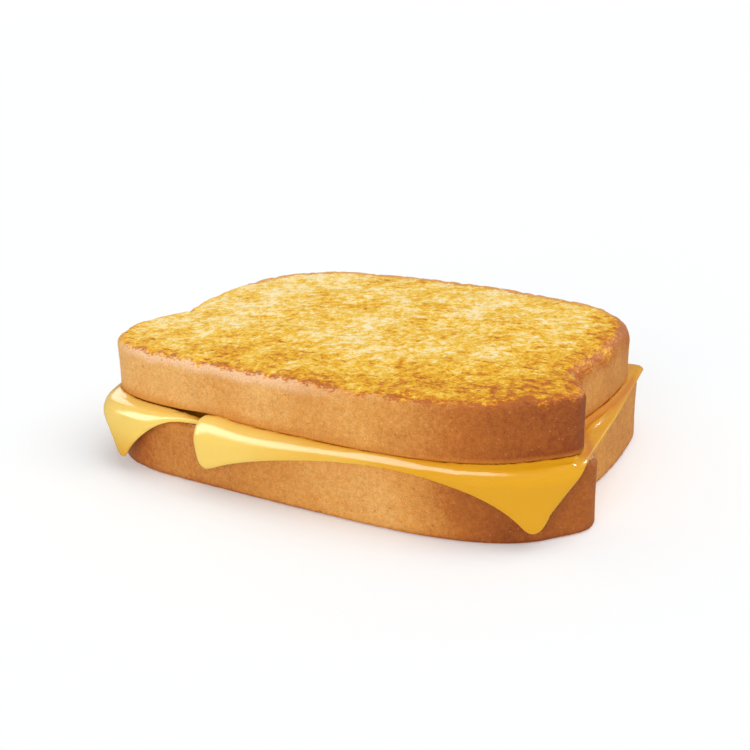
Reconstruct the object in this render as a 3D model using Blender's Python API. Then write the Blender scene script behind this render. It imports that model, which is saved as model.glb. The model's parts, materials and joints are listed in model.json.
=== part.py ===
"""A grilled cheese sandwich: two griddled slices of a tin loaf with two slices of melted cheese between them.

Sizes are in millimetres and become metres when a mesh is made. The crown crust of the loaf faces -Y, the
slices lie flat, and the origin is at the middle of the underside of the whole sandwich's box.
"""

import math

import bpy
import numpy as np

MM = 0.001

# A slice seen from above, anticlockwise from the crown's left shoulder. Each row is one corner of the loaf's
# section: x, y, how far the corner's rounding reaches along the sides that meet there, and how far the side
# after it bulges.
UPPER_CORNERS = (
    (-50.2, -1.3, 15.4, 1.2),  # crown, left shoulder
    (41.3, -1.2, 24.3, 0.6),  # crown, right shoulder
    (61.0, 17.7, 4.7, 0.0),  # right lip of the crown
    (52.9, 30.7, 2.1, 1.9),  # notch under the right lip
    (50.1, 75.2, 14.0, 7.6),  # foot of the loaf, right
    (-50.7, 79.1, 15.6, 5.0),  # foot of the loaf, left
    (-52.5, 28.7, 2.1, 0.0),  # notch under the left lip
    (-57.0, 16.1, 4.7, 0.6),  # left lip of the crown
)
LOWER_CORNERS = (
    (-50.1, -1.6, 15.9, 1.1),
    (44.2, -1.6, 24.4, 0.6),
    (61.0, 17.6, 4.9, 0.0),
    (52.9, 30.5, 2.2, 2.2),
    (50.7, 79.3, 13.3, 7.4),
    (-50.9, 79.6, 15.8, 5.0),
    (-52.7, 28.9, 2.2, 0.0),
    (-57.0, 15.3, 4.9, 0.6),
)
NOTCHES = (3, 6)
ROUNDING_LIMIT = 0.48  # most of a side's length that one corner's rounding takes
LOAF_CENTRE = np.array((0.0, 45.0))
LOWER_TURN = 0.051  # radians anticlockwise, about the loaf's centre
LOWER_SHIFT = np.array((0.8, -0.3))

# Heights. Both slices and the cheese rise a little towards +X.
LOWER_TOP = 14.7
LOWER_SLOPE = 0.008
UPPER_BOTTOM = 16.7
UPPER_SLOPE = 0.010
UPPER_THICKNESS = 12.5
DISH_DEPTH = 1.2  # how far the crumb is pressed in by the cheese
LOWER_DISH_RIM = 6.0  # width of the rim that the dish fades over
UPPER_DISH_RIM = 5.0
CROSSING = np.array((-19.5, -2.0))  # where the front edges of the two cheese slices cross at the rim
CROSSING_WIDTH = 7.0
CROSSING_DENTS = (0.75, 0.6)  # how far the lower and the upper slice of bread give way there
CRUST_ROUND = 1.2  # rounding of the crust's edges
UNDER_ROUND = 0.6  # rounding of the upper slice's lower edge
TOP_ROUND = 1.9  # rounding of the griddled top's edge
TOP_ROUND_SIDE = 1.6  # more of it at the right end behind the crown
SIDE_ROUND_START = (30.0, 21.0)  # along x and y, where that begins
SIDE_ROUND_SPAN = (25.0, 13.0)  # along x and y, how long it takes to come in
TOP_DOME = 0.4
DOME_REACH = 30.0  # how far in from the rim the dome is full
RELIEF = 0.07  # half the height of one set of waves in the griddled face
RELIEF_REACH = 4.0
# Each set of waves: its length per radian, how far its crests sway in radians, and the sway's length.
WAVES_ALONG_X = (3.9, 1.3, 7.1)
WAVES_ALONG_Y = (2.7, 1.1, 9.3)

# Cheese
CHEESE_SIDE = 84.0
CHEESE_THICKNESS = 1.3
CHEESE_EDGE = 1.8  # how far in from its edge the thickness rounds off
CLEARANCE = 0.32  # gap between pieces that touch
CHEESE_RISE = CHEESE_THICKNESS + 1.7 * CLEARANCE  # from the lower cheese up to the upper, where they overlap
DRAPE_GROW = 0.4  # how far outside the lower slice's outline the cheese begins to bend
LANDING = 8.0  # length over which a hanging flap comes in towards the crust
LIFT_REACH = 7.5  # how far in from the rim the upper cheese has risen to lie on the lower one
WITHDRAW_START = 0.3  # share of half a side where the front side begins to go in further
WITHDRAW_SPAN = 0.4
TUCK_POWER = 1.5

LOWER_CHEESE = {
    "corner": (-46.5, -18.7),  # front left corner before it hangs
    "corner_side": -1,
    "turn": 0.305,
    "pull_front": 8.5,  # how far the middle of the front side has drawn in
    "pull_end": -1.4,  # the same for the side at the hanging corner
    "withdraw": 4.0,  # how far the front side goes in further under the upper cheese
    "corner_round": (4.5, 3.0),  # of the front corners, at its -X and +X ends
    "back_round": 4.5,  # of the back corners
    "bend": (4.4, 2.3),  # bend radius at the hanging corner, and further on
    "bend_change": (-48.1, 4.0),  # where along x the radius changes, and over what width
    "stand_off": 3.2,  # from the crust to the middle of a flap that has come in
    "tuck": 7.0,  # how far the back corner at the same end has drawn in
}
UPPER_CHEESE = {
    "corner": (64.85, -4.3),  # front right corner before it hangs
    "corner_side": 1,
    "turn": 0.1365,
    "pull_front": 5.75,
    "pull_end": 0.6,
    "withdraw": 0.0,
    "corner_round": (3.0, 5.5),
    "back_round": 1.8,
    "bend": (3.2, 2.3),
    "bend_change": (6.5, 5.0),
    "stand_off": 2.4,
    "tuck": 2.0,
}

# Rings of a slice's faces, as shares of the way from the rim to the middle
FLAT_RINGS = (0.5,)
DISH_RINGS = (0.04, 0.08, 0.12, 0.22, 0.55)
TOP_RINGS = (0.05, 0.15, 0.32, 0.52, 0.76)
ROUND_ANGLES = (0.0, 40.0, 90.0)  # degrees up a rounded edge where it has rings
SIDE_STEP = 6.0  # spacing of points along a slice's sides
CORNER_STEP = 2.7  # the same in its corners
RIM_STEPS = (2.0, 1.5)  # the same for the rim that the cheese bends over
FINE_STEP = 2.1  # cells of a cheese slice where it hangs
COARSE_STEP = 6.0  # cells where it lies flat
HANG_REACH = 20.0  # how far in from its edges a cheese slice has fine cells
FIRST_CELL = 0.28  # share of the rounded-off edge that the first cell spans
LEAST_CELL = 0.8  # least width of the cell after the rounded-off edge
NUDGE = 0.05  # step for working out slopes by differences

CRUST_COLOUR = (0.56, 0.27, 0.09)
GRIDDLED_COLOUR = (0.80, 0.50, 0.10)
LOWER_CHEESE_COLOUR = (0.92, 0.55, 0.06)
UPPER_CHEESE_COLOUR = (0.90, 0.50, 0.05)
CRUST_ROUGHNESS = 0.8
GRIDDLED_ROUGHNESS = 0.75
CHEESE_ROUGHNESS = 0.3


def smooth(t):
    """0 to 1 with a level start and end, for t from 0 to 1."""
    t = np.clip(t, 0.0, 1.0)
    return t * t * (3.0 - 2.0 * t)


def bulged(start, end, bulge, t):
    """Points at t along a side that bows out by bulge to the right of its way."""
    way = end - start
    out = np.array((way[1], -way[0])) / np.hypot(*way)
    return start + t[:, None] * way + (4.0 * bulge * t * (1.0 - t))[:, None] * out


def slice_outline(corners, side_step, corner_step):
    """The closed outline of a slice: bulged sides joined at each corner by a parabola that touches both."""
    spots = np.array([corner[:2] for corner in corners])
    lengths = np.hypot(*(np.roll(spots, -1, 0) - spots).T)
    sides = []
    for i, (_, _, reach, bulge) in enumerate(corners):
        after = (i + 1) % len(corners)
        cuts = np.minimum((reach, corners[after][2]), ROUNDING_LIMIT * lengths[i]) / lengths[i]
        count = max(2, math.ceil(lengths[i] * (1.0 - cuts.sum()) / side_step) + 1)
        t = np.linspace(cuts[0], 1.0 - cuts[1], count)
        sides.append(bulged(spots[i], spots[after], bulge, t))
    points = []
    for i, side in enumerate(sides):
        after = (i + 1) % len(corners)
        first, control, last = side[-1], spots[after], sides[after][0]
        length = np.hypot(*(control - first)) + np.hypot(*(last - control))
        count = max(3, math.ceil(length / corner_step))
        t = np.linspace(0.0, 1.0, count + 1)[1:-1, None]
        points += [side, (1 - t) ** 2 * first + 2 * t * (1 - t) * control + t**2 * last]
    return np.vstack(points)


def lower_place(points):
    """Turns and shifts points of the lower slice to where it lies."""
    c, s = math.cos(LOWER_TURN), math.sin(LOWER_TURN)
    return (points - LOAF_CENTRE) @ np.array(((c, s), (-s, c))) + LOAF_CENTRE + LOWER_SHIFT


def outward(points):
    """Unit vectors out of a closed anticlockwise outline at its points."""
    along = np.roll(points, -1, 0) - np.roll(points, 1, 0)
    out = np.column_stack((along[:, 1], -along[:, 0]))
    return out / np.hypot(*out.T)[:, None]


def nearest(points, outline):
    """Each point's distance outside the outline (negative inside), the nearest place on it, the way out."""
    ends = np.roll(outline, -1, 0)
    way = ends - outline
    t = ((points[:, None] - outline) * way).sum(2) / (way**2).sum(1)
    places = outline + np.clip(t, 0.0, 1.0)[..., None] * way
    gaps = ((points[:, None] - places) ** 2).sum(2)
    best = gaps.argmin(1)
    rows = np.arange(len(points))
    place, gap = places[rows, best], np.sqrt(gaps[rows, best])
    x, y = points[:, :1], points[:, 1:]
    rise = np.where(way[:, 1] == 0.0, 1.0, way[:, 1])
    crossed = (outline[:, 1] > y) != (ends[:, 1] > y)
    crossed &= x < way[:, 0] * (y - outline[:, 1]) / rise + outline[:, 0]
    inside = crossed.sum(1) % 2 == 1
    sign = np.where(inside, -1.0, 1.0)
    out = sign[:, None] * (points - place) / np.maximum(gap, 1e-9)[:, None]
    return sign * gap, place, out


UPPER_OUTLINE = slice_outline(UPPER_CORNERS, SIDE_STEP, CORNER_STEP)
LOWER_OUTLINE = lower_place(slice_outline(LOWER_CORNERS, SIDE_STEP, CORNER_STEP))
# The cheese spans the notches, so it bends over the lower slice's outline without them.
SPANNED = [corner for i, corner in enumerate(LOWER_CORNERS) if i not in NOTCHES]
RIM = lower_place(slice_outline(SPANNED, *RIM_STEPS))
RIM = RIM + DRAPE_GROW * outward(RIM)


def crossing(points):
    """1 where the cheese slices' front edges cross at the rim, fading to 0 around it."""
    return np.exp(-((points - CROSSING) ** 2).sum(1) / CROSSING_WIDTH**2)


def lower_top(points):
    """Height of the lower slice's upper face, dished where the cheese lies."""
    depth = -nearest(points, LOWER_OUTLINE)[0]
    dish = DISH_DEPTH * smooth(depth / LOWER_DISH_RIM) + CROSSING_DENTS[0] * crossing(points)
    return LOWER_TOP + LOWER_SLOPE * points[:, 0] - dish


def upper_bottom(points):
    """Height of the upper slice's under face, dished the other way."""
    depth = -nearest(points, UPPER_OUTLINE)[0]
    dish = DISH_DEPTH * smooth(depth / UPPER_DISH_RIM) + CROSSING_DENTS[1] * crossing(points)
    return UPPER_BOTTOM + UPPER_SLOPE * points[:, 0] + dish


def waves(along, across, length, sway, sway_length):
    """Waves that run one way with crests that sway to and fro."""
    return np.sin(along / length + sway * np.sin(across / sway_length))


def griddled_top(points):
    """Height of the griddled face: a low dome with shallow waves from the crumb."""
    depth = -nearest(points, UPPER_OUTLINE)[0]
    x, y = points.T
    relief = RELIEF * (waves(x, y, *WAVES_ALONG_X) + waves(y, x, *WAVES_ALONG_Y))
    dome = TOP_DOME * smooth(depth / DOME_REACH) + relief * smooth(depth / RELIEF_REACH)
    return UPPER_BOTTOM + UPPER_THICKNESS + UPPER_SLOPE * x + dome


def lower_under(points):
    """The underside, flat on what the sandwich rests on."""
    return np.zeros(len(points))


def bread(outline, faces_of, roundings, fades):
    """Vertices and faces of a slice: rings up its crust, and rings in to the middle of each face.

    Each pair holds the under face's value first and then the upper face's.
    """
    out = outward(outline)
    middle = outline.mean(0)
    bend = np.radians(np.array(ROUND_ANGLES))
    rings = []
    for face, rounding, fade, up in zip(faces_of, roundings, fades, (1.0, -1.0)):
        inset = rounding * (1.0 - np.sin(bend))[:, None]
        rise = rounding * (1.0 - np.cos(bend))[:, None]
        rim = outline - rounding[:, None] * out
        edge = face(rim)
        curve = [
            np.column_stack((outline - d[:, None] * out, edge + up * z)) for d, z in zip(inset, rise)
        ]
        flat = [rim + share * (middle - rim) for share in fade]
        flat = [np.column_stack((spots, face(spots))) for spots in flat]
        rings.append(flat[::-1] + curve)
    rings = rings[0] + rings[1][::-1]
    ends = [np.append(middle, face(middle[None])) for face in faces_of]
    count = len(outline)
    verts = np.vstack(rings + ends)
    here = np.arange(count)
    there = np.roll(here, -1)
    faces = []
    for level in range(len(rings) - 1):
        low, high = level * count, (level + 1) * count
        faces += np.column_stack((low + here, low + there, high + there, high + here)).tolist()
    last = (len(rings) - 1) * count
    faces += [(b, a, len(verts) - 2) for a, b in zip(here, there)]
    faces += [(last + a, last + b, len(verts) - 1) for a, b in zip(here, there)]
    return verts, faces


def cell_lines(hangs_low, hangs_high, rounding):
    """Grid lines across a cheese slice: close at the edges and where it hangs, wide between."""
    edge = (0.0, FIRST_CELL * CHEESE_EDGE, CHEESE_EDGE, max(rounding, CHEESE_EDGE + LEAST_CELL))
    low, high = list(edge), [CHEESE_SIDE - e for e in edge]
    for line, hangs, way in ((low, hangs_low, 1.0), (high, hangs_high, -1.0)):
        if hangs:
            steps = round((HANG_REACH - edge[-1]) / FINE_STEP)
            line += [line[-1] + way * FINE_STEP * (k + 1) for k in range(steps)]
    steps = round((high[-1] - low[-1]) / COARSE_STEP)
    between = np.linspace(low[-1], high[-1], steps + 1)[1:-1]
    return np.concatenate((low, between, high[::-1])) - CHEESE_SIDE / 2


def rounded_square(u, v, roundings, back_rounding):
    """Moves grid points so that the corners become quarter circles, with the way to the edge."""
    half = CHEESE_SIDE / 2
    rounding = np.where(u < 0.0, roundings[0], roundings[1])
    rounding = np.where(v > 0.0, back_rounding, rounding)
    block = half - rounding
    a = np.clip((abs(u) - block) / rounding, 0.0, 1.0)
    b = np.clip((abs(v) - block) / rounding, 0.0, 1.0)
    x = np.sign(u) * (np.minimum(abs(u), block) + rounding * a * np.sqrt(1.0 - b * b / 2.0))
    y = np.sign(v) * (np.minimum(abs(v), block) + rounding * b * np.sqrt(1.0 - a * a / 2.0))
    in_corner = (a > 0.0) & (b > 0.0)
    reach = rounding * (1.0 - np.sqrt(a * a + b * b - a * a * b * b))
    to_edge = np.where(in_corner, reach, half - np.maximum(abs(u), abs(v)))
    return x, y, np.maximum(to_edge, 0.0)


def cheese_plan(cheese, u, v):
    """Where the slice lies before it hangs: a rounded square with drawn-in sides, turned on its corner."""
    half = CHEESE_SIDE / 2
    x, y, to_edge = rounded_square(u, v, cheese["corner_round"], cheese["back_round"])
    side = cheese["corner_side"]
    to_front = np.clip(-y / half, 0.0, 1.0) ** 2
    to_end = np.clip(side * x / half, 0.0, 1.0) ** 2
    pull_front = cheese["pull_front"] * (1.0 - (x / half) ** 2) * to_front
    pull_end = cheese["pull_end"] * (1.0 - (y / half) ** 2) * to_end
    withdraw = cheese["withdraw"] * smooth((WITHDRAW_START - side * x / half) / WITHDRAW_SPAN) * to_front
    tuck = cheese["tuck"] * np.clip((side * x + y) / half - 1.0, 0.0, 1.0) ** TUCK_POWER
    x = x - side * (pull_end + tuck)
    y = y + pull_front + withdraw - tuck
    c, s = math.cos(cheese["turn"]), math.sin(cheese["turn"])
    dx, dy = x - side * half, y + half
    plan = np.column_stack((c * dx - s * dy, s * dx + c * dy)) + np.array(cheese["corner"])
    return plan, to_edge


def thickness(to_edge):
    """Thickness of the cheese, rounding off to nothing at its edge."""
    t = np.clip(to_edge / CHEESE_EDGE, 0.0, 1.0)
    return CHEESE_THICKNESS * np.sqrt(np.maximum(t * (2.0 - t), 0.0))


def hang(cheese, plan, rise):
    """The middle surface of a slice that lies on the lower bread and bends down over its rim.

    Beyond the rim the way travelled goes first round an arc of the bend radius and then straight down, while
    the flap comes in from that radius towards the crust.
    """
    gap, place, out = nearest(plan, RIM)
    centre, width = cheese["bend_change"]
    share = 1.0 / (1.0 + np.exp(-(plan[:, 0] - centre) / width))
    radius = cheese["bend"][0] + (cheese["bend"][1] - cheese["bend"][0]) * share
    beyond = np.maximum(gap, 0.0)
    turned = np.minimum(beyond / radius, math.pi / 2)
    straight = np.maximum(beyond - radius * math.pi / 2, 0.0)
    away = radius * np.sin(turned) - (radius - cheese["stand_off"]) * smooth(straight / LANDING)
    drop = radius * (1.0 - np.cos(turned)) + straight
    flat = np.where(gap[:, None] > 0.0, place, plan)
    height = lower_top(flat) + CLEARANCE + CHEESE_THICKNESS / 2 + rise - drop
    return np.column_stack((flat + (away * (gap > 0.0))[:, None] * out, height))


def lower_cheese_rise(plan):
    """The lower cheese lies straight on the bread."""
    return np.zeros(len(plan))


def upper_cheese_rise(plan):
    """The upper cheese rises inwards from the rim to lie on the lower one, and rides over its front edge."""
    depth = -nearest(plan, LOWER_OUTLINE)[0]
    unlifted = (1.0 - smooth(depth / LIFT_REACH)) * (1.0 - crossing(plan))
    return CHEESE_RISE * (1.0 - unlifted)


def cheese_sheet(cheese, rise_at):
    """Vertices and faces of a melted slice: a grid hung over the bread, with a skin on either side of it."""
    side = cheese["corner_side"]
    tip_round = max(cheese["corner_round"])
    lines_u = cell_lines(side < 0, side > 0, tip_round)
    lines_v = cell_lines(True, False, tip_round)
    u, v = (g.ravel() for g in np.meshgrid(lines_u, lines_v, indexing="ij"))

    def surface(u, v):
        plan, _ = cheese_plan(cheese, u, v)
        return hang(cheese, plan, rise_at(plan))

    inner = CHEESE_SIDE / 2 - NUDGE
    cu, cv = np.clip(u, -inner, inner), np.clip(v, -inner, inner)
    along = surface(cu + NUDGE, cv) - surface(cu - NUDGE, cv)
    across = surface(cu, cv + NUDGE) - surface(cu, cv - NUDGE)
    normal = np.cross(along, across)
    normal /= np.linalg.norm(normal, axis=1)[:, None]
    middle = surface(u, v)
    half = thickness(cheese_plan(cheese, u, v)[1])[:, None] / 2
    rows, columns = len(lines_u), len(lines_v)
    index = np.arange(rows * columns).reshape(rows, columns)
    border = np.zeros((rows, columns), bool)
    border[[0, -1]] = border[:, [0, -1]] = True
    inner_index = rows * columns + np.cumsum(~border).reshape(rows, columns) - 1
    under = np.where(border, index, inner_index)
    verts = np.vstack((middle + half * normal, (middle - half * normal)[~border.ravel()]))
    return verts, quads(index).tolist() + quads(under)[:, ::-1].tolist()


def quads(index):
    """The four-sided faces between the rows and columns of a grid of vertex numbers."""
    corners = (index[:-1, :-1], index[1:, :-1], index[1:, 1:], index[:-1, 1:])
    return np.stack(corners, -1).reshape(-1, 4)


def material(name, colour, roughness):
    """A plain material of one colour."""
    made = bpy.data.materials.new(name)
    made.use_nodes = True
    shader = made.node_tree.nodes["Principled BSDF"]
    shader.inputs["Base Color"].default_value = (*colour, 1.0)
    shader.inputs["Roughness"].default_value = roughness
    shader.inputs["Metallic"].default_value = 0.0
    return made


def piece(name, verts, faces, centre, look):
    """Makes one object of the sandwich from its points, in metres about the sandwich's own origin."""
    mesh = bpy.data.meshes.new(name)
    mesh.from_pydata(((verts - centre) * MM).tolist(), [], faces)
    mesh.materials.append(look)
    mesh.shade_smooth()
    made = bpy.data.objects.new(name, mesh)
    bpy.context.scene.collection.objects.link(made)


def top_rounding():
    """Rounding of the griddled top's edge at each outline point: more at the right end behind the crown."""
    x, y = UPPER_OUTLINE.T
    share = smooth((x - SIDE_ROUND_START[0]) / SIDE_ROUND_SPAN[0])
    share *= smooth((y - SIDE_ROUND_START[1]) / SIDE_ROUND_SPAN[1])
    return TOP_ROUND + TOP_ROUND_SIDE * share


def main():
    for old in list(bpy.data.objects):
        bpy.data.objects.remove(old)
    lower_round = np.full(len(LOWER_OUTLINE), CRUST_ROUND)
    upper_round = np.full(len(UPPER_OUTLINE), UNDER_ROUND)
    lower_faces = (lower_under, lower_top)
    upper_faces = (upper_bottom, griddled_top)
    shapes = {
        "bread_bottom": bread(
            LOWER_OUTLINE, lower_faces, (lower_round, lower_round), (FLAT_RINGS, DISH_RINGS)
        ),
        "cheese_lower": cheese_sheet(LOWER_CHEESE, lower_cheese_rise),
        "cheese_upper": cheese_sheet(UPPER_CHEESE, upper_cheese_rise),
        "bread_top": bread(
            UPPER_OUTLINE, upper_faces, (upper_round, top_rounding()), (DISH_RINGS, TOP_RINGS)
        ),
    }
    looks = {
        "bread_bottom": material("crust", CRUST_COLOUR, CRUST_ROUGHNESS),
        "cheese_lower": material("cheese_lower", LOWER_CHEESE_COLOUR, CHEESE_ROUGHNESS),
        "cheese_upper": material("cheese_upper", UPPER_CHEESE_COLOUR, CHEESE_ROUGHNESS),
        "bread_top": material("griddled_bread", GRIDDLED_COLOUR, GRIDDLED_ROUGHNESS),
    }
    every = np.vstack([verts for verts, _ in shapes.values()])
    centre = (every.min(0) + every.max(0)) / 2
    centre[2] = 0.0
    for name, (verts, faces) in shapes.items():
        piece(name, verts, faces, centre, looks[name])


main()
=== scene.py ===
import json
import math
import bpy
import numpy as np
from mathutils import Matrix, Vector

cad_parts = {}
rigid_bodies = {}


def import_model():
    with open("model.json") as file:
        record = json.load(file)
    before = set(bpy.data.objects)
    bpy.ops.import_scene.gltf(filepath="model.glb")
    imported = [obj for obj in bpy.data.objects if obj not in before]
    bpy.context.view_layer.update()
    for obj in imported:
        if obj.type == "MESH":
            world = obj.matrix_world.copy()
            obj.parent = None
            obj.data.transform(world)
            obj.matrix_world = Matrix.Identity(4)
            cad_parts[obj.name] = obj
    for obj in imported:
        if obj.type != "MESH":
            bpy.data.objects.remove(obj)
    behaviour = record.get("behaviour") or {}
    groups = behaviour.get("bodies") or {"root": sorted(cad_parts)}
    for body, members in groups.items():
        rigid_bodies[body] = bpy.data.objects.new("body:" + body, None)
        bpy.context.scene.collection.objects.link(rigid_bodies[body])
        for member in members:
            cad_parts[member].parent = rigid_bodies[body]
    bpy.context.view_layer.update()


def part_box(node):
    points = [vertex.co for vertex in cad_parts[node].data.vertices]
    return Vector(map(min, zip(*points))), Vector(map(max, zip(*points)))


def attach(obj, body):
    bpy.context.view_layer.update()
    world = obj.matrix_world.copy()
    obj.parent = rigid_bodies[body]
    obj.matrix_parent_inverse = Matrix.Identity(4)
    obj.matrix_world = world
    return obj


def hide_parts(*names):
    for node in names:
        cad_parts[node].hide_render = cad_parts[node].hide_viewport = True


for old in list(bpy.data.objects):
    bpy.data.objects.remove(old)
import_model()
mm = 0.001

# Outlines and heights, in millimetres, as the CAD part has them.
# Corner rows: x, y, reach of the rounding, bulge of the side after it.
loaf = {
    "upperCorners": (
        (-50.2, -1.3, 15.4, 1.2), (41.3, -1.2, 24.3, 0.6), (61.0, 17.7, 4.7, 0.0), (52.9, 30.7, 2.1, 1.9),
        (50.1, 75.2, 14.0, 7.6), (-50.7, 79.1, 15.6, 5.0), (-52.5, 28.7, 2.1, 0.0), (-57.0, 16.1, 4.7, 0.6)),
    "lowerCorners": (
        (-50.1, -1.6, 15.9, 1.1), (44.2, -1.6, 24.4, 0.6), (61.0, 17.6, 4.9, 0.0), (52.9, 30.5, 2.2, 2.2),
        (50.7, 79.3, 13.3, 7.4), (-50.9, 79.6, 15.8, 5.0), (-52.7, 28.9, 2.2, 0.0), (-57.0, 15.3, 4.9, 0.6)),
    "notches": (3, 6),  # numbers of the corners that the cheese spans
    "roundingLimit": 0.48,  # share of a side
    "centre": np.array((0.0, 45.0)),
    "lowerTurn": 0.051,
    "lowerShift": np.array((0.8, -0.3)),
    "cadSteps": (6.0, 2.7),  # spacing of the CAD outline's points, for finding its place
    "fineSteps": (0.9, 0.5),
    "coarse": 200,  # points of an outline that depths are measured from
    "rimOut": 0.4,  # how far outside the spanned outline the cheese starts to bend
    "around": 600,  # columns of points round a slice
    "innerRings": (38, 1.3), "faceRings": (54, 1.15),  # count, and how much closer they are near the rim
}
heights = {
    "lowerTop": 14.7, "lowerSlope": 0.008, "upperBottom": 16.7, "upperSlope": 0.010, "upperThickness": 12.5,
    "dish": 1.2, "lowerDishRim": 6.0, "upperDishRim": 5.0,
    "crossing": np.array((-19.5, -2.0)), "crossingWidth": 7.0, "lowerDent": 0.75, "upperDent": 0.6,
    "crustRound": 1.2, "underRound": 0.6, "topRound": 1.9,
    "endRound": 1.6, "endRoundX": (30.0, 55.0), "endRoundY": (21.0, 34.0),
    "settle": 0.2,  # the crust's lower rim has sunk this far onto the cheese
    "dome": 0.4, "domeReach": 30.0,
    "relief": 0.07, "reliefReach": 4.0,
    "alongX": (3.9, 1.3, 7.1), "alongY": (2.7, 1.1, 9.3),  # waves: length / 2 pi, sway, its length / 2 pi
    "hills": ((0.07, 4.0, 3), (0.05, 1.7, 4)), "hillsDown": 0.12,  # rows of height, size and seed
}
lattice = {"cells": 256, "offset": 100.0}  # knots each way, and how many of them lie before 0


# 0 to 1 with level ends: 3tt - 2ttt.
def ease(t):
    t = np.clip(t, 0.0, 1.0)
    return t * t * (3.0 - 2.0 * t)


# Eases from 0 to 1 while a value goes through a range, up or down. With no range it is 1 everywhere.
def ramp(value, span):
    return 1.0 if span is None else ease((value - span[0]) / (span[1] - span[0]))


# Gaussian of a distance: exp(-(distance / width) squared).
def bell(distance, width):
    return np.exp(-(distance / width) ** 2)


# A side from start to end, pushed out to the right of its way by 4 bulge t (1 - t).
def bulgedSide(start, end, bulge, t):
    way = end - start
    out = np.array((way[1], -way[0])) / np.hypot(*way)
    return start + t[:, None] * way + (4.0 * bulge * t * (1.0 - t))[:, None] * out


# Bulged sides cut back at each corner and joined there by a parabola with the corner as its control point.
def sliceOutline(corners, sideStep, cornerStep):
    spots = np.array([corner[:2] for corner in corners])
    lengths = np.hypot(*(np.roll(spots, -1, 0) - spots).T)
    sides = []
    for i, (_, _, reach, bulge) in enumerate(corners):
        after = (i + 1) % len(corners)
        cuts = np.minimum((reach, corners[after][2]), loaf["roundingLimit"] * lengths[i]) / lengths[i]
        count = max(2, math.ceil(lengths[i] * (1.0 - cuts.sum()) / sideStep) + 1)
        sides.append(bulgedSide(spots[i], spots[after], bulge, np.linspace(cuts[0], 1.0 - cuts[1], count)))
    points = []
    for i, side in enumerate(sides):
        after = (i + 1) % len(corners)
        first, control, last = side[-1], spots[after], sides[after][0]
        length = np.hypot(*(control - first)) + np.hypot(*(last - control))
        t = np.linspace(0.0, 1.0, max(3, math.ceil(length / cornerStep)) + 1)[1:-1, None]
        points += [side, (1 - t) ** 2 * first + 2 * t * (1 - t) * control + t**2 * last]
    return np.vstack(points)


# The lower slice's turn about the loaf's centre, then its shift.
def lowerPlace(points):
    c, s = math.cos(loaf["lowerTurn"]), math.sin(loaf["lowerTurn"])
    return (points - loaf["centre"]) @ np.array(((c, s), (-s, c))) + loaf["centre"] + loaf["lowerShift"]


# Evenly spaced points along a closed line, by interpolating over its running length.
def evenly(points, count):
    closed = np.vstack((points, points[:1]))
    run = np.concatenate(([0.0], np.cumsum(np.hypot(*np.diff(closed, axis=0).T))))
    at = np.linspace(0.0, run[-1], count, endpoint=False)
    return np.column_stack([np.interp(at, run, closed[:, k]) for k in (0, 1)])


# Unit vectors out of an anticlockwise outline: its direction between neighbours, turned to the right.
def outwardWay(points):
    along = np.roll(points, -1, 0) - np.roll(points, 1, 0)
    out = np.column_stack((along[:, 1], -along[:, 0]))
    return out / np.hypot(*out.T)[:, None]


# Signed distance to a closed line (negative inside), the nearest place on it and the way out.
# The nearest place on each side is start + t (end - start). Points are worked through in blocks,
# to save memory.
def nearestOn(points, line, block=3000):
    ends = np.roll(line, -1, 0)
    way = ends - line
    rise = np.where(way[:, 1] == 0.0, 1.0, way[:, 1])
    gaps, places, outs = [], [], []
    for start in range(0, len(points), block):
        p = points[start:start + block]
        t = np.clip(((p[:, None] - line) * way).sum(2) / (way**2).sum(1), 0.0, 1.0)
        spots = line + t[..., None] * way
        far = ((p[:, None] - spots) ** 2).sum(2)
        best = far.argmin(1)
        rows = np.arange(len(p))
        place, gap = spots[rows, best], np.sqrt(far[rows, best])
        crossed = (line[:, 1] > p[:, 1:]) != (ends[:, 1] > p[:, 1:])
        crossed &= p[:, :1] < way[:, 0] * (p[:, 1:] - line[:, 1]) / rise + line[:, 0]
        sign = np.where(crossed.sum(1) % 2 == 1, -1.0, 1.0)
        gaps.append(sign * gap)
        places.append(place)
        outs.append(sign[:, None] * (p - place) / np.maximum(gap, 1e-9)[:, None])
    return np.concatenate(gaps), np.vstack(places), np.vstack(outs)


# Smooth random hills from -1 to 1: values on a lattice of that size, blended with eased weights.
def hills(x, y, size, seed):
    count = lattice["cells"]
    knots = np.random.default_rng(seed).uniform(-1.0, 1.0, (count, count))
    u, v = x / size + lattice["offset"], y / size + lattice["offset"]
    i, j = np.floor(u).astype(int), np.floor(v).astype(int)
    a, b = ease(u - i), ease(v - j)
    low = knots[i % count, j % count] * (1 - a) + knots[(i + 1) % count, j % count] * a
    high = knots[i % count, (j + 1) % count] * (1 - a) + knots[(i + 1) % count, (j + 1) % count] * a
    return low * (1 - b) + high * b


# A sum of hills, from rows of height, size and seed.
def hillSum(x, y, rows, seedStep=0):
    return sum(height * hills(x, y, size, seed + seedStep) for height, size, seed in rows)


upperLine = sliceOutline(loaf["upperCorners"], *loaf["fineSteps"])
lowerLine = lowerPlace(sliceOutline(loaf["lowerCorners"], *loaf["fineSteps"]))
spanned = [corner for i, corner in enumerate(loaf["lowerCorners"]) if i not in loaf["notches"]]
rimLine = lowerPlace(sliceOutline(spanned, *loaf["fineSteps"]))
rimLine = rimLine + loaf["rimOut"] * outwardWay(rimLine)
upperCoarse, lowerCoarse = evenly(upperLine, loaf["coarse"]), evenly(lowerLine, loaf["coarse"])

# The CAD box is centred on the whole sandwich, so the lower slice's least x and y tell where
# this outline lies in it.
cadLine = lowerPlace(sliceOutline(loaf["lowerCorners"], *loaf["cadSteps"]))
shift = np.append(np.array(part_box("bread_bottom")[0])[:2] / mm - cadLine.min(0), 0.0)
print("outlines ready, shift", shift.round(2))


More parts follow.
